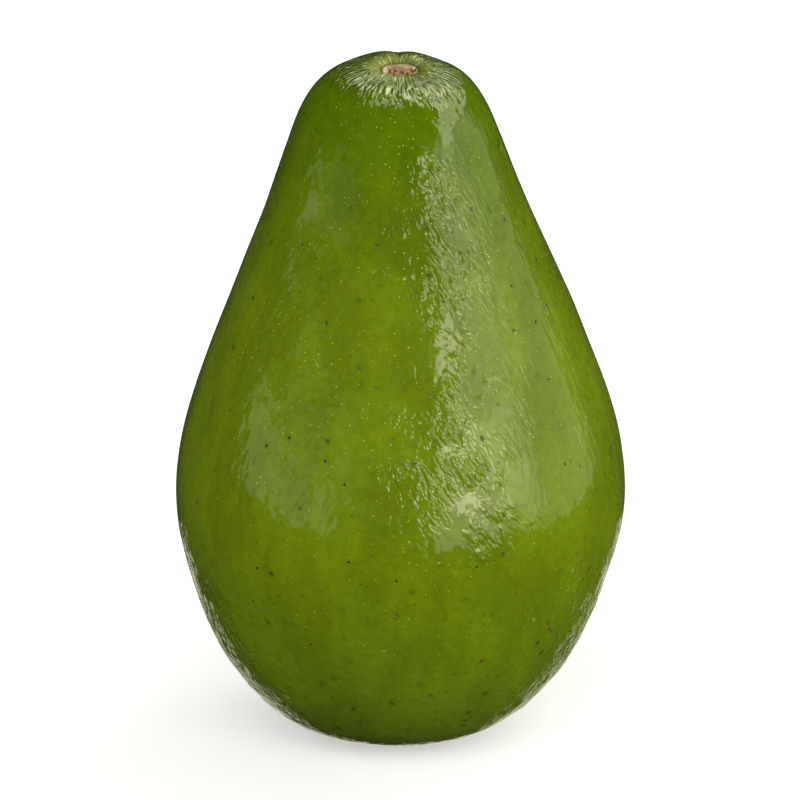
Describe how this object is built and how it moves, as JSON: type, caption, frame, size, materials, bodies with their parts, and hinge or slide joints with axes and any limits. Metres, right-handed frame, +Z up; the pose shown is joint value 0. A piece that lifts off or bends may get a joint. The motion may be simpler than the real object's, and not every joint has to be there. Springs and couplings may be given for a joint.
{
  "type": "avocado",
  "caption": "Whole pear-shaped fruit with a waxy green skin, a pleated dimple on top holding a corky stem button, standing upright on a small flat spot.",
  "frame": {"origin": "on the surface it stands on, under the middle of the fruit", "axes": "+Z up along the fruit towards the stem, -Y towards the pictured side, +X to that view's right"},
  "size_m": [0.0858, 0.0856, 0.1329],
  "materials": {
    "skin": "waxy gloss with fine specks",
    "stem_cork": "dry, torn cork"
  },
  "bodies": {
    "root": {"fruit": "skin", "stem_button": "stem_cork"}
  },
  "joints": []
}
